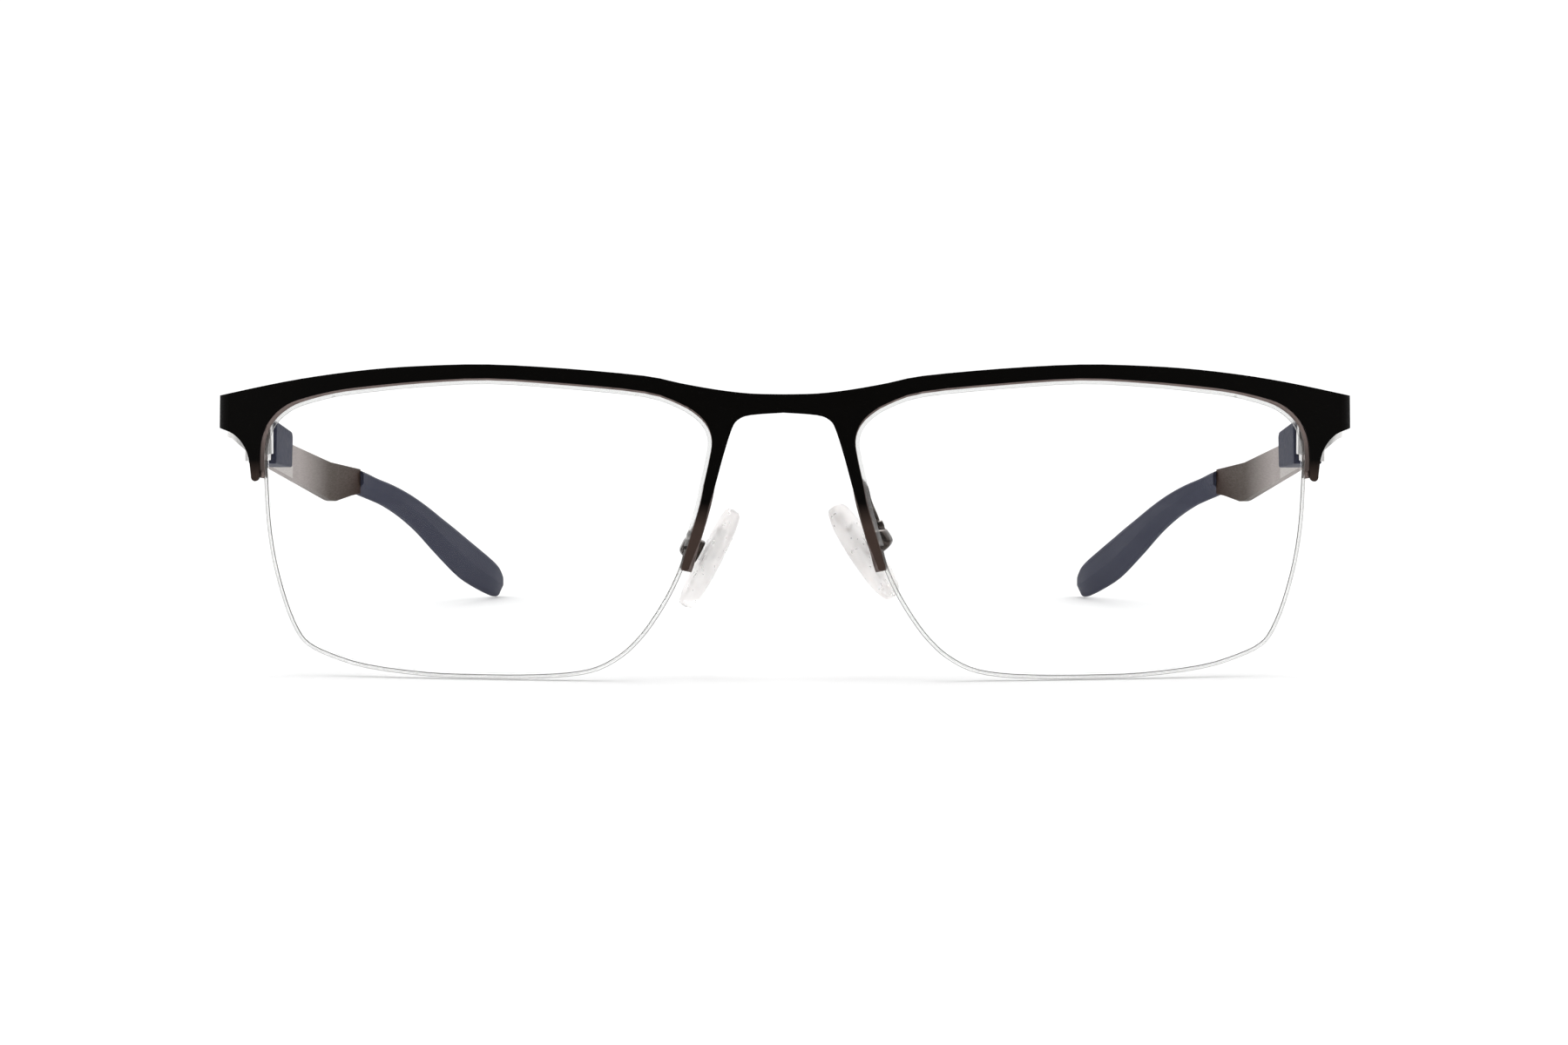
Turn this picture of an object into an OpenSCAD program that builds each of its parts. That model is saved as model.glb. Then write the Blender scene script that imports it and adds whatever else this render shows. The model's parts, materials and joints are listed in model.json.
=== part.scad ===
// Half rim eyeglasses, open and standing on the lens threads and the temple tips.
// Millimetres. +X to the right seen from the front, +Y to the back, +Z up, floor at Z = 0.
// Inside the modules Y = 0 is the foremost point of the front; at_origin() centres the part.

/* [Front] */
// Radius that the front sheet and the lenses are curved to
curve_r = 130; // [110:1:180]
// Height of the middle of the curve above the floor
curve_z = 19; // [17:0.5:21]
// Half width of the bridge, which is curved in height only
bridge_half = 16; // [12:0.5:18]
// Thickness of the front sheet
sheet_t = 0.9; // [0.7:0.05:1.2]
// Outer radius of the end piece's bend
bend_r = 2.4; // [1.8:0.1:3]
// Where the end piece starts to bend
bend_x = 71.3; // [70.8:0.1:71.6]

/* [Lenses and rims] */
// Thickness of a lens
lens_t = 2.0; // [1.8:0.1:2.6]
// Depth of the rim wire, front to back
rim_t = 2.2; // [2:0.1:2.8]
// Height of the rim wire across the lens plane
rim_h = 1.13; // [1:0.05:1.5]
// Width of the groove that the liner and the thread lie in
groove_w = 0.7; // [0.6:0.05:0.8]
// Depth of the groove in the lens edge
groove_d = 0.5; // [0.4:0.05:0.6]
// Diameter of the nylon thread
thread_d = 0.54; // [0.4:0.02:0.6]

/* [Nose pads] */
// Height of a pad
pad_l = 14; // [11:0.1:15]
// Width of a pad
pad_w = 7.4; // [6:0.1:9]
// Thickness of a pad in the middle
pad_t = 2.4; // [1.6:0.1:2.8]
// Lean of the left pad seen from the front; each pad is set by bending its arm
left_lean = 27.2; // [20:0.2:36]
// Lean of the right pad seen from the front
right_lean = 33.4; // [20:0.2:36]
// Turn of the left pad seen from above
left_splay = 8; // [0:1:20]
// Turn of the right pad seen from above
right_splay = 17; // [0:1:20]
// Diameter of the pad arm wire
arm_d = 1.0; // [0.9:0.05:1.2]

/* [Temples] */
// Distance of a hinge axis from the middle
hinge_x = 67.8; // [67.5:0.1:68]
// Depth of a hinge axis behind the front
hinge_y = 17.4; // [17.2:0.1:17.8]
// Height of a hinge's middle knuckle above the floor
hinge_z = 30.1; // [29.5:0.1:30.5]
// Slope of a temple down towards the back
slope = 7.5; // [5:0.5:9]
// Turn of a temple inwards
toe = 4.6; // [3:0.1:6]
// Thickness of the temple's metal plate
plate_t = 1.0; // [0.8:0.05:1.2]
// Radius of a hinge knuckle
knuckle_r = 1.5; // [1.4:0.05:1.6]
// Radius of the hinge screw's shank
screw_r = 0.6; // [0.5:0.05:0.65]
// Clearance round a turning or sliding piece
run = 0.04; // [0.02:0.01:0.08]

/* [Hidden] */
$fn = 64;
y_mid = 74.1;
eps = 0.02;
groove_r = curve_r - sheet_t - rim_t / 2;
bend_a = asin((bend_x - bridge_half) / curve_r);
bend_cx = bend_x - bend_r * sin(bend_a);
bend_cr = (curve_r - bend_r) * cos(bend_a);
end_y = hinge_y - knuckle_r - 0.05;
tip_y = 95;

// ---------- outlines, for the right side, as X and Z ----------
// Lens edge from the rim's nasal end, round the bottom, to the outer side and over the top.
lens_pts = [
    [12.9, 14.1], [14.6, 10.5], [16.8, 7.0], [18.6, 4.8], [20.55, 3.05], [23.45, 1.45],
    [27.15, 0.66], [33, 0.32], [39, 0.29], [45.4, 0.42], [53.15, 1.25], [57.95, 2.55],
    [60.9, 3.9], [62.4, 5.7], [63.9, 9.3], [65.3, 14.5], [66.05, 19.6], [66.38, 25.1],
    [66.5, 28.3], [66.2, 30.5], [65.3, 32.3], [63.7, 33.8], [61.5, 34.9], [57.1, 36.05],
    [52.4, 36.7], [45.5, 37.4], [37.2, 37.8], [27.3, 37.2], [17.4, 36.2], [13.1, 34.8],
    [10.8, 33.4], [9.5, 31.9], [9.0, 30.2], [9.25, 28.2], [9.9, 25.2], [10.5, 22.3],
    [11.6, 18.5], [12.2, 16.6]
];
rim_end = 17;
steps = 3;
brow_top = [
    [0, 36.1], [4.2, 36.2], [8.5, 36.7], [13, 37.5], [17.4, 38.4], [27.3, 39.3],
    [37.2, 39.8], [45.5, 39.6], [52.4, 39.1], [59.5, 38.2], [65.7, 37.1], [73.2, 35.5]
];
end_low = [[73.2, 31.6], [72.2, 31.35], [70.6, 30.75], [69.3, 29.5], [68.5, 27.8], [68.15, 25.4]];
brow_low = [
    [67.05, 25.4], [67.0, 28.2], [66.7, 30.4], [65.8, 32.4], [64.1, 34.1], [61.8, 35.2],
    [57.1, 36.35], [52.4, 37.0], [45.5, 37.65], [37.2, 38.05], [27.3, 37.45], [17.4, 36.45],
    [13, 35.0], [10.75, 33.65], [9.5, 32.2], [8.95, 30.4], [9.2, 28.2], [9.85, 25.3],
    [10.4, 22.4], [11.5, 18.6], [12.1, 16.7], [12.75, 14.6]
];
bridge_low = [
    [11.75, 14.6], [10.2, 18.6], [9.3, 22.3], [8.6, 24.5], [7.6, 28.2], [6.5, 31.7],
    [5.7, 32.9], [4.1, 33.5], [0, 33.8]
];

function mix(a, b, c, d, t) = 0.5 * (2 * b + (c - a) * t
    + (2 * a - 5 * b + 4 * c - d) * t * t + (3 * b - a - 3 * c + d) * t * t * t);
function closed_curve(c, k) = let (n = len(c))
    [for (i = [0:n - 1], j = [0:k - 1])
        mix(c[(i + n - 1) % n], c[i], c[(i + 1) % n], c[(i + 2) % n], j / k)];
function open_curve(c, k) = let (n = len(c))
    concat([for (i = [0:n - 2], j = [0:k - 1])
        mix(c[max(i - 1, 0)], c[i], c[i + 1], c[min(i + 2, n - 1)], j / k)], [c[n - 1]]);
function unit(v) = v / norm(v);
function arc(c, r, a, b, k) = [for (i = [0:k]) c + r * [cos(a + (b - a) * i / k), sin(a + (b - a) * i / k)]];
// A closed outline moved outwards by d
function grown(p, d) = let (n = len(p))
    [for (i = [0:n - 1]) let (t = unit(p[(i + 1) % n] - p[(i + n - 1) % n])) p[i] + d * [t[1], -t[0]]];
lens_edge = closed_curve(lens_pts, steps);
half_front = concat(
    open_curve(brow_top, 3), open_curve(end_low, 3), arc([67.6, 25.3], 0.55, -5, -175, 6),
    open_curve(brow_low, 3), arc([12.25, 14.55], 0.5, -5, -175, 6), open_curve(bridge_low, 3)
);
front_edge = concat(half_front,
    [for (i = [len(half_front) - 2:-1:1]) [-half_front[i][0], half_front[i][1]]]);

// ---------- shapes ----------
module at_origin() translate([0, -y_mid, 0]) children();
module side(s) at_origin() mirror([s > 0 ? 0 : 1, 0, 0]) children();
// An X-Z outline made solid from front to back
module slab(pts, y0, y1) translate([0, y1, 0]) rotate([90, 0, 0]) linear_extrude(y1 - y0) polygon(pts);
// The space between two of the lens's curved layers
module layer(r0, r1) translate([bridge_half, curve_r, curve_z]) difference() {
    sphere(r = r1, $fn = 240);
    sphere(r = r0, $fn = 240);
}
module bands(pts, d0, d1, y0, y1) difference() {
    slab(grown(pts, d1), y0, y1);
    slab(grown(pts, d0), y0 - 1, y1 + 1);
}
// Everything above the line between the two ends of the upper rim, raised by d
module above(d) slab([[0, 11.6 + d], [12.9, 14.2 + d], [66.4, 25.2 + d], [76, 27.2 + d], [76, 50], [0, 50]], -5, 30);
// Points of a closed section drawn along a row of them, joined into one skin
module loft(rings) {
    m = len(rings);
    n = len(rings[0]);
    polyhedron(
        points = [for (r = rings) for (p = r) p],
        faces = concat(
            [for (i = [0:m - 2], j = [0:n - 1]) [i * n + j, i * n + (j + 1) % n, (i + 1) * n + (j + 1) % n]],
            [for (i = [0:m - 2], j = [0:n - 1]) [i * n + j, (i + 1) * n + (j + 1) % n, (i + 1) * n + j]],
            [for (j = [1:n - 2]) [0, j + 1, j]],
            [for (j = [1:n - 2]) let (o = (m - 1) * n) [o, o + j, o + j + 1]]
        ),
        convexity = 8
    );
}
function circle_at(p, t, ref, r, n) = let (u = unit(cross(t, ref)), v = cross(u, t))
    [for (k = [0:n - 1]) p + r * cos(360 * k / n) * u + r * sin(360 * k / n) * v];
module wire(path, r, ref, n = 10) {
    last = len(path) - 1;
    loft([for (i = [0:last]) circle_at(path[i],
        unit(path[min(i + 1, last)] - path[max(i - 1, 0)]), ref, r, n)]);
}

// ---------- front ----------
// Section of the front sheet, as distance from the curve's axis and X
module sheet_section() {
    translate([curve_r - sheet_t, -bridge_half]) square([sheet_t, 2 * bridge_half]);
    for (s = [0, 1]) mirror([0, s]) {
        intersection() {
            translate([0, bridge_half]) difference() {
                circle(r = curve_r);
                circle(r = curve_r - sheet_t);
            }
            translate([0, bridge_half]) polygon([[0, 0], [140, 0], [140, 140 * tan(bend_a)]]);
        }
        intersection() {
            translate([bend_cr, bend_cx]) difference() {
                circle(r = bend_r);
                circle(r = bend_r - sheet_t);
            }
            translate([bend_cr, bend_cx])
                polygon([[0, 0], [9, 9 * tan(bend_a)], [9, 9], [0, 9]]);
        }
        translate([bend_cr - 4, bend_cx + bend_r - sheet_t]) square([4, sheet_t]);
    }
}
module front_sheet() multmatrix([[0, 0, 1, 0], [-1, 0, 0, curve_r], [0, -1, 0, curve_z], [0, 0, 0, 1]])
    rotate_extrude(angle = 26, start = -13, $fn = 256) sheet_section();
module front_plate() color([0.04, 0.035, 0.03]) at_origin() intersection() {
    front_sheet();
    slab(front_edge, -2, end_y);
}
module rim() color([0.36, 0.33, 0.31]) intersection() {
    difference() {
        intersection() {
            bands(lens_edge, 0.12, 0.12 + rim_h, 0, 18);
            layer(groove_r - rim_t / 2, groove_r + rim_t / 2);
        }
        intersection() {
            bands(lens_edge, -1, 0.65, 0, 18);
            layer(groove_r - groove_w / 2, groove_r + groove_w / 2);
        }
    }
    above(0);
}
module rim_liner() color([0.9, 0.9, 0.88, 0.6]) intersection() {
    bands(lens_edge, -groove_d, 0.6, 0, 18);
    layer(groove_r - groove_w / 2, groove_r + groove_w / 2);
    above(3);
}
module lens() color([0.85, 0.9, 0.95, 0.3]) difference() {
    intersection() {
        slab(lens_edge, -1, 18);
        layer(groove_r - lens_t / 2, groove_r + lens_t / 2);
    }
    intersection() {
        bands(lens_edge, -groove_d, 1, -1, 18);
        layer(groove_r - groove_w / 2, groove_r + groove_w / 2);
    }
}
function on_curve(p) = [p[0],
    curve_r - sqrt(pow(groove_r, 2) - pow(p[0] - bridge_half, 2) - pow(p[1] - curve_z, 2)), p[1]];
thread_path = let (e = grown(lens_edge, -0.02), n = len(e))
    [for (i = [-3:rim_end * steps + 2]) on_curve(e[(i + n) % n])];
module lens_thread() color([0.93, 0.93, 0.92, 0.6]) wire(thread_path, thread_d / 2, [0, 1, 0], 8);

// ---------- nose pads ----------
pin_x = 2.5;
function lean(s) = s > 0 ? right_lean : left_lean;
function splay(s) = s > 0 ? right_splay : left_splay;
function pad_at(s) = s > 0 ? [10.1, 8.0, 16.0] : [9.4, 8.0, 15.1];
module pad_frame(s) translate(pad_at(s)) rotate([0, -lean(s), 0]) rotate([0, 0, -splay(s)]) children();
function pad_point(s, p) = let (k = splay(s), n = lean(s),
        a = [p[0] * cos(k) + p[1] * sin(k), p[1] * cos(k) - p[0] * sin(k), p[2]])
    pad_at(s) + [a[0] * cos(n) - a[2] * sin(n), a[1], a[0] * sin(n) + a[2] * cos(n)];
pad_half = open_curve([[0, 0.5], [0.62, 0.41], [0.9, 0.2], [1, -0.1], [0.88, -0.34], [0.48, -0.475], [0, -0.5]], 4);
pad_edge = concat([for (p = pad_half) [p[0] * pad_w / 2, p[1] * pad_l]],
    [for (i = [len(pad_half) - 2:-1:1]) [-pad_half[i][0] * pad_w / 2, pad_half[i][1] * pad_l]]);
module pad_slab(k, x0, x1) translate([x0, 0, 0]) rotate([90, 0, 90])
    linear_extrude(x1 - x0) polygon([for (p = pad_edge) p * k]);
module insert_core() {
    pad_slab(0.55, -0.2, 0.45);
    translate([0.3, -0.85, -0.75]) cube([pin_x - 0.3, 1.7, 1.5]);
    translate([pin_x, 0.85, 0]) rotate([90, 0, 0]) cylinder(r = 0.75, h = 1.7);
}
module nose_pad(s) color([0.93, 0.92, 0.9, 0.75]) pad_frame(s) difference() {
    intersection() {
        pad_slab(1, -pad_t / 2, pad_t / 2);
        translate([40 - pad_t / 2, 0, 0]) sphere(r = 40, $fn = 240);
    }
    insert_core();
}
module pad_insert(s) color([0.9, 0.92, 0.95, 0.6]) pad_frame(s) difference() {
    insert_core();
    translate([pin_x, 2, 0]) rotate([90, 0, 0]) cylinder(r = 0.45 + run, h = 4);
}
module pad_box(s) color([0.75, 0.74, 0.72]) pad_frame(s) difference() {
    translate([1.6, -1.5, -1.35]) cube([2.45, 3, 3]);
    translate([1, -0.9, -2]) cube([2.35, 1.8, 4]);
    translate([pin_x, 2, 0]) rotate([90, 0, 0]) cylinder(r = 0.45, h = 4);
}
module pad_screw(s) color([0.7, 0.69, 0.67]) pad_frame(s) difference() {
    union() {
        translate([pin_x, 1.6, 0]) rotate([90, 0, 0]) cylinder(r = 0.45, h = 3.1);
        translate([pin_x, 1.9, 0]) rotate([90, 0, 0]) cylinder(r = 0.8, h = 0.4);
    }
    translate([pin_x - 0.1, 1.7, -1]) cube([0.2, 1, 2]);
}
// Each arm ends on the top of its box; the right one is bent a little further out
function arm_path(s) = let (o = s > 0 ? 0.4 : 0) open_curve([
    [9.35, 3.5, 25.3], [9.45, 4.9, 25.15], [9.75 + o, 6.7, 24.3], [10.05 + 1.5 * o, 7.6, 22.4],
    pad_point(s, [3.4 + o, 0, 3.2]), pad_point(s, [3.45, 0, 1.68 + 0.3 * o])
], 5);
module pad_arm(s) color([0.6, 0.58, 0.55]) wire(arm_path(s), arm_d / 2, [1, 0, 0], 12);

// ---------- hinges ----------
// Frame of a temple: the origin on the hinge axis, +y along the temple
module temple_frame() translate([hinge_x, hinge_y, hinge_z]) rotate([0, 0, toe]) rotate([-slope, 0, 0]) children();
module knuckle(z0, z1, r) translate([hinge_x, hinge_y, z0]) cylinder(r = r, h = z1 - z0);
block_x = 65.75;
block_edge = concat(
    arc([bend_cx, curve_r - sqrt(pow(bend_cr, 2) - pow(33.5 - curve_z, 2))],
        bend_r - sheet_t - 0.08, -90 + bend_a + 8, 0, 8),
    [[bend_cx + bend_r - sheet_t - 0.08, end_y], [block_x, end_y], [block_x, 9]]
);
block_face = [[60, 35], [60, 29.9], [66, 29.9], [69, 28.6], [70, 29.4], [70.9, 30.05], [73, 30.7], [73, 35]];
// The rim and the lens, with all that lies in front of them
module rim_room() difference() {
    slab(grown(lens_edge, 0.18 + rim_h), 5, 18);
    translate([bridge_half, curve_r, curve_z]) sphere(r = groove_r - rim_t / 2 - 0.06, $fn = 240);
}
module hinge_block() color([0.74, 0.74, 0.73]) difference() {
    union() {
        intersection() {
            translate([0, 0, 28]) linear_extrude(6.2) polygon(block_edge);
            slab(block_face, 0, 18);
            translate([bridge_half, curve_r, curve_z]) sphere(r = curve_r - sheet_t - eps, $fn = 240);
        }
        translate([block_x, end_y - 1.6, 28.1]) cube([hinge_x + knuckle_r - block_x, 1.6, 3.8]);
        translate([hinge_x - knuckle_r, end_y - 1.6, 27.2]) cube([2 * knuckle_r, 1.6, 1.2]);
        for (z = [[27.2, 28.4], [30.6, 32]]) {
            knuckle(z[0], z[1], knuckle_r);
            translate([hinge_x - 1.4, end_y - 0.5, z[0]]) cube([2.8, 2.05, z[1] - z[0]]);
        }
    }
    rim_room();
    knuckle(27, 34.5, screw_r + run);
}
module hinge_screw() color([0.66, 0.65, 0.63]) difference() {
    union() {
        knuckle(27.2, 32.06, screw_r);
        knuckle(32.04, 32.5, 1.0);
    }
    translate([hinge_x - 0.12, hinge_y - 1.5, 32.25]) cube([0.24, 3, 1]);
}
module slider_rod(r, y0, y1) temple_frame() translate([0.3, y0, -0.55]) rotate([-90, 0, 0]) cylinder(r = r, h = y1 - y0);
module hinge_slider() color([0.72, 0.71, 0.7]) difference() {
    union() {
        knuckle(28.45, 30.55, knuckle_r);
        temple_frame() translate([-0.6, 0.5, -1.4]) cube([1.8, 4.88, 1.8]);
        slider_rod(0.4, 5, 9.3);
        slider_rod(0.72, 9.2, 9.8);
    }
    knuckle(28, 31, screw_r + run);
}
module housing_box() translate([-1.1, 2, -2.5]) cube([3.1 - 0.02, 9, 3.8]);
module hinge_housing() color([0.76, 0.76, 0.75]) difference() {
    temple_frame() difference() {
        housing_box();
        translate([-0.6 - run, 1, -1.4 - run]) cube([1.8 + 2 * run, 4.42, 1.8 + 2 * run]);
    }
    slider_rod(0.4 + run, 5, 7);
    slider_rod(0.8, 6.1, 10.6);
}
spring_path = [for (i = [0:72]) let (a = 360 * 6 * i / 72)
    [0.3 + 0.62 * cos(a), 6.24 + 2.82 * i / 72, -0.55 + 0.62 * sin(a)]];
module hinge_spring() color([0.5, 0.5, 0.52]) temple_frame() wire(spring_path, 0.12, [0, 1, 0], 6);
module hinge_cover() color([0.22, 0.24, 0.31]) temple_frame() difference() {
    translate([1.98, 0, 0]) rotate([0, -90, 0]) linear_extrude(1.98 + 1.8) polygon(concat(
        [[2.4, 2.3], [-3.15, 2.3]], arc([-2.45, 12.1], 0.3, 180, 90, 3), arc([1.05, 11.5], 0.9, 90, 0, 8)
    ));
    housing_box();
}

// ---------- temples ----------
plate_top = [[-2, 1.95], [12, 1.95], [26, 2.15], [33, 2.15], [41, 1.97], [51, 1.9], [56, 1.9],
    [61, 2.1], [66.4, 2.34], [72, 2.58], [82, 3.05]];
plate_low = [[82, -0.3], [77.3, -0.9], [72.2, -1.52], [66.9, -2.34], [61.6, -3.15], [59.4, -3.4], [56.5, -3.5],
    [51.3, -3.42], [46.3, -3.23], [36.4, -2.78], [26, -2.35], [16, -2.12], [10, -2.0], [6.5, -1.35],
    [4, -0.6], [1, -0.1], [-2, 0.1]];
// Tip stations: Y, inner X, top Z, bottom Z, thickness
tip_pts = [
    [95.1, 63.1, 22.6, 19.2, 2.2], [98, 62.4, 22.0, 18.6, 2.2], [101, 61.4, 21.2, 17.9, 2.2],
    [106, 59.6, 20.0, 16.6, 2.3], [112, 57.6, 18.3, 14.5, 2.3], [118, 55.6, 16.2, 11.8, 2.3],
    [123, 53.9, 14.2, 9.0, 2.3], [128, 52.3, 12.3, 6.4, 2.3], [133, 50.7, 10.3, 3.9, 2.2],
    [138, 48.9, 8.1, 2.0, 2.0], [142, 47.5, 6.3, 0.7, 1.7], [145, 46.8, 5.0, 0.1, 1.4],
    [147.2, 46.5, 3.7, 0.3, 1.1], [148.2, 46.5, 2.8, 1.1, 0.8]
];
tip_rows = open_curve(tip_pts, 3);
tip_shape = [[0.55, 0], [0.74, 0], [0.9, 0.05], [1, 0.18], [1, 0.8], [0.92, 0.94], [0.72, 1],
    [0.3, 1], [0.12, 0.96], [0, 0.86], [0, 0.42]];
core_path = concat([[64.2, 93.6, 21.0]], [for (i = [1:29]) let (r = tip_rows[i])
    [r[1] + r[4] / 2, r[0], (r[2] + r[3]) / 2]]);
module core() loft([for (p = core_path) [for (q = [[-1, -1], [1, -1], [1, 1], [-1, 1]])
    p + [0.4 * q[0], 0, 0.8 * q[1]]]]);
module temple_plate() color([0.5, 0.48, 0.46]) union() {
    intersection() {
        temple_frame() translate([2, 0, 0]) rotate([90, 0, 90]) linear_extrude(plate_t)
            polygon(concat(open_curve(plate_top, 3), open_curve(plate_low, 3)));
        translate([50, end_y + 0.05, 0]) cube([30, tip_y - 0.02 - end_y - 0.05, 45]);
    }
    core();
}
module temple_tip() color([0.2, 0.22, 0.29]) difference() {
    loft([for (r = tip_rows) [for (q = tip_shape)
        [r[1] + q[0] * r[4], r[0], r[3] + q[1] * (r[2] - r[3])]]]);
    core();
}

// ---------- the named pieces ----------
module left_rim() side(-1) rim();
module left_rim_liner() side(-1) rim_liner();
module left_lens() side(-1) lens();
module left_lens_thread() side(-1) lens_thread();
module left_pad_arm() side(-1) pad_arm(-1);
module left_pad_box() side(-1) pad_box(-1);
module left_pad_screw() side(-1) pad_screw(-1);
module left_pad_insert() side(-1) pad_insert(-1);
module left_nose_pad() side(-1) nose_pad(-1);
module left_hinge_block() side(-1) hinge_block();
module left_hinge_screw() side(-1) hinge_screw();
module left_hinge_slider() side(-1) hinge_slider();
module left_hinge_spring() side(-1) hinge_spring();
module left_hinge_housing() side(-1) hinge_housing();
module left_hinge_cover() side(-1) hinge_cover();
module left_temple_plate() side(-1) temple_plate();
module left_temple_tip() side(-1) temple_tip();
module right_rim() side(1) rim();
module right_rim_liner() side(1) rim_liner();
module right_lens() side(1) lens();
module right_lens_thread() side(1) lens_thread();
module right_pad_arm() side(1) pad_arm(1);
module right_pad_box() side(1) pad_box(1);
module right_pad_screw() side(1) pad_screw(1);
module right_pad_insert() side(1) pad_insert(1);
module right_nose_pad() side(1) nose_pad(1);
module right_hinge_block() side(1) hinge_block();
module right_hinge_screw() side(1) hinge_screw();
module right_hinge_slider() side(1) hinge_slider();
module right_hinge_spring() side(1) hinge_spring();
module right_hinge_housing() side(1) hinge_housing();
module right_hinge_cover() side(1) hinge_cover();
module right_temple_plate() side(1) temple_plate();
module right_temple_tip() side(1) temple_tip();

front_plate();
left_rim();
left_rim_liner();
left_lens();
left_lens_thread();
left_pad_arm();
left_pad_box();
left_pad_screw();
left_pad_insert();
left_nose_pad();
left_hinge_block();
left_hinge_screw();
left_hinge_slider();
left_hinge_spring();
left_hinge_housing();
left_hinge_cover();
left_temple_plate();
left_temple_tip();
right_rim();
right_rim_liner();
right_lens();
right_lens_thread();
right_pad_arm();
right_pad_box();
right_pad_screw();
right_pad_insert();
right_nose_pad();
right_hinge_block();
right_hinge_screw();
right_hinge_slider();
right_hinge_spring();
right_hinge_housing();
right_hinge_cover();
right_temple_plate();
right_temple_tip();
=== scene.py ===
import json
import math

import bmesh
import bpy
import numpy as np
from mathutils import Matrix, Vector


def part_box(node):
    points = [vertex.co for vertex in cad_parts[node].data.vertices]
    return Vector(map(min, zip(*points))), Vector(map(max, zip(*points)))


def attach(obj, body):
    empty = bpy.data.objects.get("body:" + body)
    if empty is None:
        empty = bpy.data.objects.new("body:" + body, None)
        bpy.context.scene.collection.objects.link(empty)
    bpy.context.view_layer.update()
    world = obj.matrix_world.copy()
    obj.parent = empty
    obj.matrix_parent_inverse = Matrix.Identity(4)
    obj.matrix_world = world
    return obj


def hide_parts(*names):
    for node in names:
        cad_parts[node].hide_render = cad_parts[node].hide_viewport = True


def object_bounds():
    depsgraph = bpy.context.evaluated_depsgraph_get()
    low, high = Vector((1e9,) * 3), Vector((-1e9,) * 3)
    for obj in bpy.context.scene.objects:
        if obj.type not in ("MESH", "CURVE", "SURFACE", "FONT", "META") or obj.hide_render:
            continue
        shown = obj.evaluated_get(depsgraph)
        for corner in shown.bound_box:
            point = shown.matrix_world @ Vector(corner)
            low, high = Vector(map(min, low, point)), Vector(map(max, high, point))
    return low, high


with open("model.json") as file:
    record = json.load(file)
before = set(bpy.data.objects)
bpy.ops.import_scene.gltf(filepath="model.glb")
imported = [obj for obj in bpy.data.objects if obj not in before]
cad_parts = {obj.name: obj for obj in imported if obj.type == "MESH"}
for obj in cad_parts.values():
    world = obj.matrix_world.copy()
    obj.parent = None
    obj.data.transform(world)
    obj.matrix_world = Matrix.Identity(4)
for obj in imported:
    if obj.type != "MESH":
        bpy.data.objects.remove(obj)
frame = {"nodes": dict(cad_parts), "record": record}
cad_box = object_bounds()

scene = bpy.context.scene
nodes = frame["nodes"]

# One millimetre, and the distance within which two corners are one, in metres
MM = 1e-3
WELD = 2e-6
# The band that most of a noise texture's values lie in
SPREAD = (0.3, 0.7)


# ---------- material helpers ----------
def material(name, base, rough=0.5, metal=0.0, **sockets):
    m = bpy.data.materials.new(name)
    m.use_nodes = True
    p = m.node_tree.nodes["Principled BSDF"]
    p.inputs["Base Color"].default_value = (*base, 1)
    p.inputs["Roughness"].default_value = rough
    p.inputs["Metallic"].default_value = metal
    for k, v in sockets.items():
        p.inputs[k.replace("_", " ")].default_value = v
    return m


def add(m, kind, **inputs):
    n = m.node_tree.nodes.new(kind)
    for k, v in inputs.items():
        n.inputs[k.replace("_", " ")].default_value = v
    return n


def link(m, a, b):
    m.node_tree.links.new(a, b)


def place(m, scale):
    """Object coordinates times scale, so that a scale of 1000 counts in millimetres."""
    c, s = add(m, "ShaderNodeTexCoord"), add(m, "ShaderNodeMapping")
    s.inputs["Scale"].default_value = scale
    link(m, c.outputs["Object"], s.inputs["Vector"])
    return s.outputs["Vector"]


def noise(m, scale, detail=3.0, rough=0.5, stretch=(1, 1, 1)):
    n = add(m, "ShaderNodeTexNoise", Scale=1.0, Detail=detail, Roughness=rough)
    link(m, place(m, tuple(scale * 1000 * s for s in stretch)), n.inputs["Vector"])
    return n.outputs["Fac"]


def remap(m, fac, lo, hi, out_lo, out_hi):
    n = add(m, "ShaderNodeMapRange")
    for k, v in (("From Min", lo), ("From Max", hi), ("To Min", out_lo), ("To Max", out_hi)):
        n.inputs[k].default_value = v
    link(m, fac, n.inputs["Value"])
    return n.outputs["Result"]


def mixed(m, fac, a, b):
    n = add(m, "ShaderNodeMix")
    n.data_type = "RGBA"
    for s, v in ((n.inputs[6], a), (n.inputs[7], b)):
        if isinstance(v, tuple):
            s.default_value = (*v, 1)
        else:
            link(m, v, s)
    link(m, fac, n.inputs[0])
    return n.outputs[2]


def maths(m, op, a, b):
    n = add(m, "ShaderNodeMath")
    n.operation = op
    for s, v in zip(n.inputs, (a, b)):
        if isinstance(v, (int, float)):
            s.default_value = v
        else:
            link(m, v, s)
    return n.outputs[0]


def axes(m, source="Object"):
    """The x, y and z of the surface's place (Object) or of its direction (Normal)."""
    c, s = add(m, "ShaderNodeTexCoord"), add(m, "ShaderNodeSeparateXYZ")
    link(m, c.outputs[source], s.inputs[0])
    return s.outputs


def facing(m):
    """How squarely a surface faces front or back, from 0 on the edges to 1, whatever the view."""
    return maths(m, "ABSOLUTE", axes(m, "Normal")[1], 0)


def shader(m):
    return m.node_tree.nodes["Principled BSDF"]


def blend_shaders(m, fac, a, b, output):
    mix = add(m, "ShaderNodeMixShader")
    for s, v in zip(mix.inputs, (fac, a, b)):
        link(m, v, s)
    link(m, mix.outputs[0], m.node_tree.nodes[output].inputs["Surface"])


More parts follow.
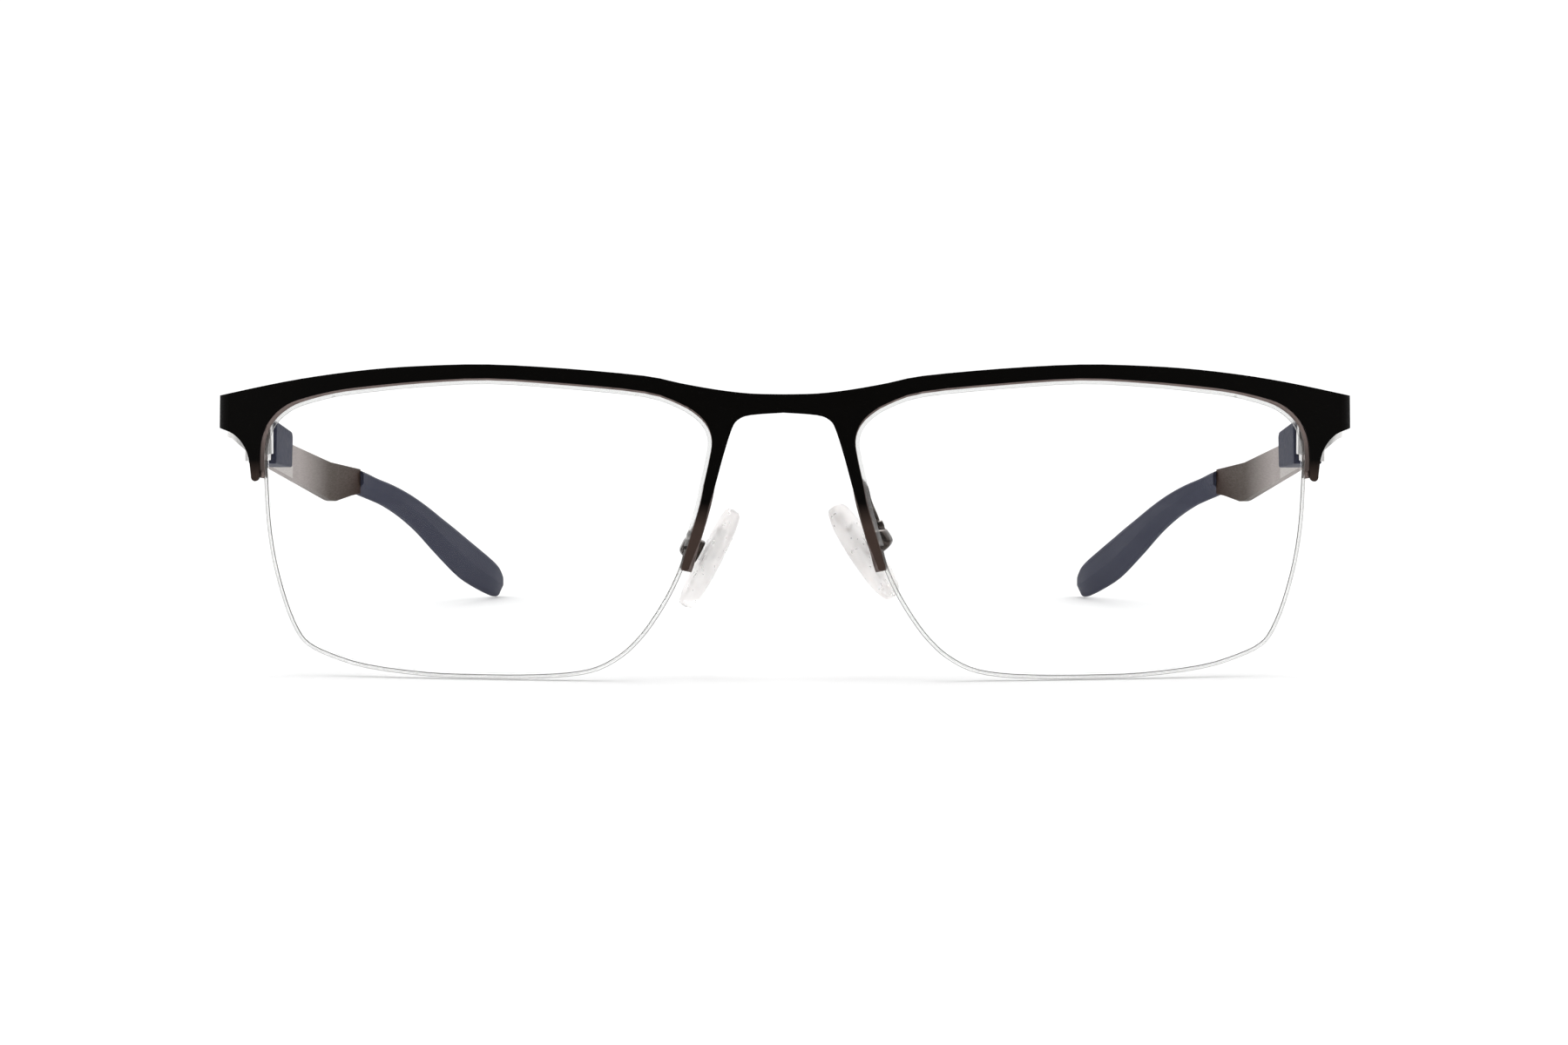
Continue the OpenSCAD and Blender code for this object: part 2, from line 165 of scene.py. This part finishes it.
def bump(m, height, mm, strength=1.0):
    n = add(m, "ShaderNodeBump", Strength=strength, Distance=mm / 1000)
    link(m, height, n.inputs["Height"])
    link(m, n.outputs["Normal"], shader(m).inputs["Normal"])


def finish_metal(m, rough_lo, rough_hi, stretch, mm):
    """Fine brushing: lines run along the axis that stretch makes slow."""
    lines = noise(m, 6, 4, 0.6, stretch)
    link(m, remap(m, lines, *SPREAD, rough_lo, rough_hi), shader(m).inputs["Roughness"])
    bump(m, lines, mm, 0.5)
    return lines


# ---------- materials ----------
def black_sheet():
    """Matte black paint that wears to brown metal on the legs beside the nose and at the outer ends."""
    nasal_top, nasal_side = (0.0225, 0.0195), (0.03, 0.028)
    outer_top, outer_side = (0.0275, 0.0255), (0.06, 0.062)
    m = material("black_sheet", (0.0015, 0.0013, 0.001), 0.55, 0.0, Specular_IOR_Level=0.04)
    grain = noise(m, 14, 3)
    x, _, z = axes(m)
    side = maths(m, "ABSOLUTE", x, 0)
    nasal = maths(m, "MULTIPLY", remap(m, z, *nasal_top, 0, 1), remap(m, side, *nasal_side, 0, 1))
    outer = maths(m, "MULTIPLY", remap(m, z, *outer_top, 0, 0.6), remap(m, side, *outer_side, 0, 1))
    legs = maths(m, "MAXIMUM", nasal, outer)
    paint = mixed(m, grain, (0.001, 0.0008, 0.0006), (0.0022, 0.0018, 0.0014))
    link(m, mixed(m, legs, paint, (0.068, 0.046, 0.038)), shader(m).inputs["Base Color"])
    link(m, remap(m, legs, 0, 1, 0, 0.5), shader(m).inputs["Metallic"])
    link(m, remap(m, noise(m, 3, 2), *SPREAD, 0.48, 0.62), shader(m).inputs["Roughness"])
    bump(m, grain, 0.012, 0.6)
    return m


def rim_metal():
    m = material("rim_metal", (0.17, 0.135, 0.125), 0.36, 1.0)
    finish_metal(m, 0.3, 0.45, (1, 1, 1), 0.006)
    return m


def silver():
    m = material("silver", (0.75, 0.74, 0.73), 0.34, 1.0)
    finish_metal(m, 0.28, 0.42, (1, 0.15, 1), 0.005)
    return m


def bright_steel():
    m = material("bright_steel", (0.6, 0.58, 0.56), 0.22, 1.0)
    finish_metal(m, 0.16, 0.3, (1, 1, 1), 0.004)
    return m


def dark_steel():
    """Polished dark metal with a broken painted highlight: the base colour turns pale on what faces up."""
    m = material("dark_steel", (0.16, 0.135, 0.12), 0.14, 1.0)
    finish_metal(m, 0.1, 0.2, (1, 1, 1), 0.003)
    # Painted highlight: pale base colour on surfaces that face up, broken up by noise.
    upward = remap(m, axes(m, "Normal")[2], 0.55, 0.8, 0, 1)
    broken = remap(m, noise(m, 0.7, 1), 0.42, 0.55, 0.3, 1)
    painted_highlight = maths(m, "MULTIPLY", upward, broken)
    link(m, mixed(m, painted_highlight, (0.055, 0.045, 0.04), (0.6, 0.56, 0.53)), shader(m).inputs["Base Color"])
    return m


def gunmetal():
    """Brushed blade: pale on the inner face just behind the hinge cover, then darker towards the tip."""
    patch_length, patch_fade = 17.5 * MM, 0.3 * MM
    first_zone, last_zone = (-0.022, -0.002), (-0.002, 0.02)
    m = material("gunmetal", (0.3, 0.27, 0.25), 0.34, 1.0, Specular_Tint=(0.45, 0.43, 0.42, 1))
    lines = finish_metal(m, 0.3, 0.42, (1, 0.06, 1), 0.006)
    x, y, _ = axes(m)
    outward = maths(m, "MULTIPLY", maths(m, "SIGN", x, 0), axes(m, "Normal")[0])
    inner = remap(m, outward, -0.5, -0.4, 1, 0)
    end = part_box("right_hinge_cover")[1][1] + patch_length
    start = maths(m, "MULTIPLY", inner, remap(m, y, end - patch_fade, end, 1, 0))
    hue = mixed(m, remap(m, y, *first_zone, 0, 1), (0.56, 0.52, 0.51), (0.115, 0.1, 0.09))
    hue = mixed(m, remap(m, y, *last_zone, 0, 1), hue, (0.055, 0.036, 0.031))
    hue = mixed(m, start, hue, (0.76, 0.735, 0.72))
    brushed = mixed(m, remap(m, lines, *SPREAD, 0, 0.12), hue, (0.07, 0.06, 0.055))
    link(m, brushed, shader(m).inputs["Base Color"])
    return m


def navy():
    m = material("navy", (0.035, 0.038, 0.06), 0.55, 0.0, Specular_IOR_Level=0.08)
    grain = noise(m, 9, 3)
    link(m, mixed(m, grain, (0.03, 0.032, 0.053), (0.042, 0.045, 0.07)), shader(m).inputs["Base Color"])
    link(m, remap(m, noise(m, 2, 2), *SPREAD, 0.48, 0.62), shader(m).inputs["Roughness"])
    bump(m, grain, 0.01, 0.5)
    return m


def see_through(m, shade):
    """Lamps shine through: a shadow ray meets a clear surface."""
    path = add(m, "ShaderNodeLightPath")
    clear = add(m, "ShaderNodeBsdfTransparent", Color=(shade, shade, shade, 1))
    blend_shaders(m, path.outputs["Is Shadow Ray"], shader(m).outputs[0], clear.outputs[0], "Material Output")
    return m


def lens_glass():
    """Coated against reflections, so its index is set low; the finely ground edge is paler."""
    m = material("lens_clear", (0.99, 0.993, 0.992), 0.0, 0.0, Transmission_Weight=1.0, IOR=1.12)
    edge = remap(m, facing(m), 0.55, 0.45, 0, 1)
    link(m, mixed(m, edge, (0.99, 0.993, 0.992), (0.86, 0.855, 0.85)), shader(m).inputs["Base Color"])
    link(m, remap(m, edge, 0, 1, 1, 0.75), shader(m).inputs["Transmission Weight"])
    fine = remap(m, noise(m, 0.05, 2), *SPREAD, 0.0, 0.01)
    link(m, maths(m, "MAXIMUM", fine, remap(m, edge, 0, 1, 0, 0.4)), shader(m).inputs["Roughness"])
    return see_through(m, 0.86)


def nylon():
    """Clear thread with painted shade: its rounded sides are painted near black and made less clear."""
    m = material("nylon_clear", (0.86, 0.86, 0.85), 0.12, 0.0, Transmission_Weight=0.85, IOR=1.53)
    # Painted shade: where the thread turns away from front and back, its colour goes near black.
    side = remap(m, facing(m), 0.72, 0.45, 0, 1)
    link(m, mixed(m, side, (0.97, 0.97, 0.965), (0.07, 0.065, 0.06)), shader(m).inputs["Base Color"])
    link(m, remap(m, side, 0, 1, 0.9, 0.1), shader(m).inputs["Transmission Weight"])
    link(m, remap(m, noise(m, 4, 2), *SPREAD, 0.06, 0.2), shader(m).inputs["Roughness"])
    return see_through(m, 0.75)


def hard_clear():
    m = material("hard_clear", (0.93, 0.94, 0.94), 0.08, 0.0, Transmission_Weight=0.9, IOR=1.49)
    link(m, remap(m, noise(m, 3, 2), *SPREAD, 0.04, 0.14), shader(m).inputs["Roughness"])
    return see_through(m, 0.9)


def silicone():
    """Milky soft pad with a faint cloud and a few specks in it, and a faint painted glow."""
    cells_per_metre = 420
    m = material("silicone", (0.84, 0.82, 0.81), 0.34, 0.0, Transmission_Weight=0.75, IOR=1.25)
    p = shader(m)
    p.inputs["Subsurface Weight"].default_value = 0.6
    # Painted light: a faint warm emission makes the pad glow a little.
    p.inputs["Emission Color"].default_value = (1, 0.985, 0.975, 1)
    p.inputs["Emission Strength"].default_value = 0.06
    p.inputs["Subsurface Radius"].default_value = (0.002, 0.0018, 0.0017)
    p.inputs["Subsurface Scale"].default_value = 1.0
    cells = add(m, "ShaderNodeTexVoronoi", Scale=1.0)
    link(m, place(m, (cells_per_metre,) * 3), cells.inputs["Vector"])
    dot = remap(m, cells.outputs["Distance"], 0.0, 0.4, 0.7, 0)
    here = remap(m, noise(m, 0.3, 1), 0.55, 0.62, 0, 1)
    specks = remap(m, maths(m, "MULTIPLY", dot, here), 0, 1, 0, 0.35)
    cloud = remap(m, noise(m, 0.5, 3), 0.35, 0.7, 0, 0.5)
    tint = mixed(m, cloud, (0.86, 0.84, 0.83), (0.81, 0.785, 0.775))
    link(m, mixed(m, specks, tint, (0.64, 0.61, 0.6)), p.inputs["Base Color"])
    link(m, remap(m, noise(m, 1.2, 3), *SPREAD, 0.26, 0.42), p.inputs["Roughness"])
    bump(m, noise(m, 0.6, 2), 0.2, 0.6)
    return see_through(m, 0.8)


finishes = {
    "front_plate": black_sheet(), "rim": rim_metal(), "rim_liner": nylon(), "lens": lens_glass(),
    "pad_arm": dark_steel(), "pad_screw": bright_steel(), "pad_insert": hard_clear(),
    "nose_pad": silicone(), "hinge_block": silver(), "temple_plate": gunmetal(), "hinge_cover": navy(),
}
same = {
    "lens_thread": "rim_liner", "pad_box": "pad_arm", "temple_tip": "hinge_cover",
    "hinge_screw": "pad_screw", "hinge_spring": "pad_screw",
    "hinge_slider": "hinge_block", "hinge_housing": "hinge_block",
}


def kind_of(name):
    return name.split("_", 1)[1] if name.startswith(("left_", "right_")) else name


def finish_of(name):
    kind = kind_of(name)
    return finishes[same.get(kind, kind)]


for name, o in nodes.items():
    for s in o.material_slots:
        s.material = finish_of(name)


# ---------- pieces ----------
body_with = {n: b for b, held in frame["record"]["behaviour"]["bodies"].items() for n in held}


def shown(name, data):
    """An object for a mesh, a light or a camera, in the scene."""
    o = bpy.data.objects.new(name, data)
    scene.collection.objects.link(o)
    return o


def skin(name, verts, faces):
    me = bpy.data.meshes.new(name)
    me.from_pydata([tuple(v) for v in verts], [], faces)
    return shown(name, me)


def piece(name, verts, faces, node):
    """A finished mesh that stands for one CAD node and moves with its body; its faces point outward."""
    o = skin(name, verts, faces)
    settle(o, node)
    bm = bmesh.new()
    bm.from_mesh(o.data)
    bmesh.ops.recalc_face_normals(bm, faces=bm.faces)
    bm.to_mesh(o.data)
    bm.free()
    return o


def welded(node):
    """The CAD node's mesh, open for editing, with its doubled corners joined."""
    bm = bmesh.new()
    bm.from_mesh(nodes[node].data)
    bmesh.ops.remove_doubles(bm, verts=bm.verts, dist=WELD)
    return bm


def closed_up(bm, name):
    me = bpy.data.meshes.new(name)
    bm.to_mesh(me)
    bm.free()
    return shown(name, me)


def points_of(node):
    return np.array([p.co for p in nodes[node].data.vertices])


def unique_points(node):
    return np.unique(np.round(points_of(node), 7), axis=0)


def power(value, exponent):
    """A power that keeps its sign, which squares a circle's corners as the exponent falls below 1."""
    return math.copysign(abs(value) ** exponent, value)


def unit(v):
    return v / np.linalg.norm(v)


def settle(o, node):
    o.data.materials.clear()
    o.data.materials.append(finish_of(node))
    for f in o.data.polygons:
        f.use_smooth = True
        f.material_index = 0
    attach(o, body_with[node])
    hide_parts(node)


def eased(node, width):
    """The CAD node with its sharp edges rounded by width."""
    flat, sharp_from, steps = math.radians(1.5), math.radians(35), 3
    bm = welded(node)
    bmesh.ops.dissolve_limit(bm, angle_limit=flat, verts=bm.verts, edges=bm.edges)
    sharp = [e for e in bm.edges if len(e.link_faces) == 2 and e.calc_face_angle(0) > sharp_from]
    bmesh.ops.bevel(bm, geom=sharp, offset=width, offset_type="OFFSET", segments=steps, profile=0.5,
                    affect="EDGES", clamp_overlap=True)
    o = closed_up(bm, node + "_eased")
    o.modifiers.new("normals", "WEIGHTED_NORMAL").keep_sharp = True
    settle(o, node)


def swollen(node, by):
    """The CAD node pushed out along its normals, so that the wire's lip laps over the lens edge."""
    bm = welded(node)
    bmesh.ops.recalc_face_normals(bm, faces=bm.faces)
    bm.normal_update()
    for v, n in [(v, v.normal.copy()) for v in bm.verts]:
        v.co += n * by
    o = closed_up(bm, node + "_lip")
    o.modifiers.new("normals", "WEIGHTED_NORMAL")
    settle(o, node)


def own_axes(node):
    """Middle, axes (thin, wide, long) and half sizes of a CAD node along its own directions."""
    v = unique_points(node)
    c = v.mean(axis=0)
    _, _, rows = np.linalg.svd(v - c)
    long, thin = rows[0], rows[2]
    long = long if long[2] > 0 else -long
    thin = thin if thin[0] * c[0] > 0 else -thin
    wide = np.cross(long, thin)
    own = np.array([thin, wide, long])
    q = (v - c) @ own.T
    lo, hi = q.min(axis=0), q.max(axis=0)
    return c + (lo + hi) / 2 @ own, own, (hi - lo) / 2


def nose_pad(side):
    """A plump silicone pad with a slightly uneven edge, bowed a little towards the nose."""
    mid, ax, half = own_axes(side + "_nose_pad")
    rings, around = 12, 72
    edge_power, width_power, length_power = 0.43, 0.8, 0.85
    waves, wave_depth, wave_start = 9, 0.01, 1.1 if side == "left" else 0.2
    verts = []
    for i in range(rings + 1):
        f = math.pi * i / rings
        rim = math.sin(f) ** edge_power
        for j in range(around):
            t = 2 * math.pi * j / around
            wave = 1 - wave_depth * (1 + math.sin(waves * t + wave_start)) * rim
            wide = power(math.sin(t), width_power) * (0.95 - 0.04 * math.cos(t)) * wave * rim
            long = power(math.cos(t), length_power) * 0.995 * wave * rim
            bow = (1 - long ** 2) * 0.06
            thick = 0.03 - bow - power(math.cos(f), edge_power) * 0.96
            verts.append(mid + (half * (thick, wide, long)) @ ax)
    o = piece(side + "_pad_skin", verts, tube_faces(rings + 1, around), side + "_nose_pad")


def pad_hinge(side):
    return next(j for j in frame["record"]["behaviour"]["joints"] if j["name"] == side + "_pad_rock")


def pad_axes(side):
    """Directions of one pad: away from the nose, along its hinge pin, and up along the pad."""
    out = own_axes(side + "_nose_pad")[1][0]
    y = np.array(pad_hinge(side)["axis"])
    z = unit(np.cross(out, y))
    z = z if z[2] > 0 else -z
    x = np.cross(y, z)
    return (x if x @ out > 0 else -x), y, z


def tube_faces(rows, around):
    """Faces of a closed skin over rows of points, each row once round."""
    starts = [i * around for i in range(rows)]
    faces = [(a + j, a + (j + 1) % around, b + (j + 1) % around, b + j)
             for a, b in zip(starts, starts[1:]) for j in range(around)]
    return faces + [tuple(range(around))[::-1], tuple(range(starts[-1], rows * around))]


def pad_box(side):
    """A polished, rounded cup, open towards the pad and hollow where the pad's block rocks in it."""
    node = side + "_pad_box"
    own = np.array(pad_axes(side))
    v = points_of(node) @ own.T
    lo, hi = v.min(axis=0), v.max(axis=0)
    mid, half = (lo + hi) / 2, (hi - lo) / 2
    pin = np.array(pad_hinge(side)["pos_m"]) @ own.T
    around, dome_rows = 64, 14
    outer_square, hollow_square = 0.55, 0.25
    hollow_half, hollow_depth, step = (0.94 * MM, 1.16 * MM), 0.85 * MM, 0.1 * MM
    verts = []

    def ring(x, middle, ry, rz, squareness):
        """A squared ring across the cup at x, with half sizes ry and rz."""
        for j in range(around):
            t = 2 * math.pi * j / around
            y = middle[1] + ry * power(math.cos(t), squareness)
            z = middle[2] + rz * power(math.sin(t), squareness)
            verts.append(np.array((x, y, z)) @ own)

    dome = [math.pi / 2 * (i + 1) / dome_rows for i in range(dome_rows)]
    outside = [(2 * math.cos(f) ** 0.6 - 1, math.sin(f) ** 0.5) for f in dome]
    lip = [(-0.98, 0.97), (-1.0, 0.93)]
    for x, r in outside + lip:
        ring(mid[0] + half[0] * x, mid, half[1] * r, half[2] * r, outer_square)
    bottom = pin[0] + hollow_depth
    hollow = (lo[0], lo[0] + step, bottom - step, bottom)
    for x in hollow:
        ring(x, pin, *hollow_half, hollow_square)
    piece(side + "_pad_cup", verts, tube_faces(len(outside + lip) + len(hollow), around), node)


def arm_foot(side):
    """The soldered foot of the pad arm: it flares from the wire's end into the top of the cup."""
    _, y, z = pad_axes(side)
    v = unique_points(side + "_pad_arm")
    lowest_points = 12
    end = v[np.argsort(v @ z)[:lowest_points]].mean(axis=0)
    lo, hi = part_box(side + "_pad_box")
    along = unit(np.array((lo + hi) / 2) - end)
    u = unit(np.cross(along, y))
    w = np.cross(along, u)
    # How far along, and how thick there, in mm
    rows = [(-0.62, 0.3), (-0.6, 0.5), (-0.35, 0.56), (-0.1, 0.66), (0.1, 0.7),
            (0.35, 0.68), (0.7, 0.74), (0.9, 0.72), (0.92, 0.4)]
    around = 32
    turns = [2 * math.pi * j / around for j in range(around)]
    verts = [end + (t * along + r * (math.cos(k) * u + math.sin(k) * w)) * MM
             for t, r in rows for k in turns]
    o = skin(side + "_arm_foot", verts, tube_faces(len(rows), around))
    o.data.materials.append(finish_of(side + "_pad_arm"))
    for f in o.data.polygons:
        f.use_smooth = True
    smooth = o.modifiers.new("round", "SUBSURF")
    smooth.levels = smooth.render_levels = 1
    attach(o, body_with[side + "_pad_arm"])


for side in ("left", "right"):
    nose_pad(side)
    pad_box(side)
    arm_foot(side)
    swollen(side + "_rim", 0.2 * MM)
    eased(side + "_hinge_cover", 0.22 * MM)
    for kind in ("hinge_housing", "hinge_block", "temple_plate"):
        eased(side + "_" + kind, 0.12 * MM)


# ---------- stage, light and camera ----------
def floor_white():
    """White floor that fades into plain light away from the part."""
    fade_start, fade_end = 0.25, 0.6
    m = material("floor_white", (0.9, 0.9, 0.9), 0.9, 0.0, Specular_IOR_Level=0.0)
    white = mixed(m, noise(m, 0.01, 2), (0.895, 0.895, 0.895), (0.905, 0.905, 0.905))
    link(m, white, shader(m).inputs["Base Color"])
    away, spot = add(m, "ShaderNodeVectorMath"), add(m, "ShaderNodeTexCoord")
    away.operation = "LENGTH"
    link(m, spot.outputs["Object"], away.inputs[0])
    fade = remap(m, away.outputs["Value"], fade_start, fade_end, 0, 1)
    glow = add(m, "ShaderNodeEmission", Strength=1.12)
    blend_shaders(m, fade, shader(m).outputs[0], glow.outputs[0], "Material Output")
    return m


def floor(size, gap):
    """A flat sheet, gap below the lowest point of the part."""
    h = size / 2
    o = skin("floor", [(-h, -h, 0), (h, -h, 0), (h, h, 0), (-h, h, 0)], [(0, 1, 2, 3)])
    o.location = (0, 0, cad_box[0][2] - gap)
    o.data.materials.append(floor_white())
    return o


floor(8, 0.1 * MM)


def lamp(name, at, aim, size, watts):
    d = bpy.data.lights.new(name, "AREA")
    d.shape, d.size, d.size_y, d.energy = "RECTANGLE", size[0], size[1], watts
    o = shown(name, d)
    o.location = at
    o.rotation_euler = (Vector(aim) - Vector(at)).to_track_quat("-Z", "Y").to_euler()


middle = (0, 0, 0.02)
lamp("top", at=(0, -0.1, 1.2), aim=(0, 0.03, 0), size=(0.7, 0.7), watts=0.8)
lamp("back", at=(0, 1.3, 0.7), aim=middle, size=(1.6, 0.5), watts=1.1)
lamp("left", at=(-1.0, -0.2, 0.7), aim=middle, size=(0.5, 0.5), watts=1.6)
lamp("right", at=(1.0, -0.2, 0.7), aim=middle, size=(0.5, 0.5), watts=1.6)


def studio():
    """White all round to the camera. The light it gives is weaker from the front and stronger overhead."""
    w = bpy.data.worlds.new("studio")
    w.use_nodes = True
    split, path = add(w, "ShaderNodeSeparateXYZ"), add(w, "ShaderNodeLightPath")
    link(w, add(w, "ShaderNodeTexCoord").outputs["Generated"], split.inputs[0])
    around = remap(w, split.outputs[1], -0.6, 0.3, 0.25, 1.1)
    overhead = remap(w, split.outputs[2], 0.6, 1.0, 0.0, 1.05)
    dome, white = w.node_tree.nodes["Background"], add(w, "ShaderNodeBackground", Strength=1.1)
    link(w, maths(w, "ADD", around, overhead), dome.inputs["Strength"])
    for n in (dome, white):
        n.inputs["Color"].default_value = (1, 1, 1, 1)
    blend_shaders(w, path.outputs["Is Camera Ray"], dome.outputs[0], white.outputs[0], "World Output")
    return w


scene.world = studio()
scene.view_settings.view_transform = "Standard"

cam = bpy.data.cameras.new("camera")
cam.sensor_width, cam.lens, cam.clip_start = 36, 92, 0.01
distance, height, pivot_y = 0.508, 0.04783, cad_box[0][1] + 0.008
turn, dip = math.radians(0.4), math.radians(3.173)
scene.camera = shown("camera", cam)
scene.camera.location = (distance * math.sin(turn), pivot_y - distance * math.cos(turn), height)
scene.camera.rotation_euler = (math.pi / 2 - dip, 0, turn)
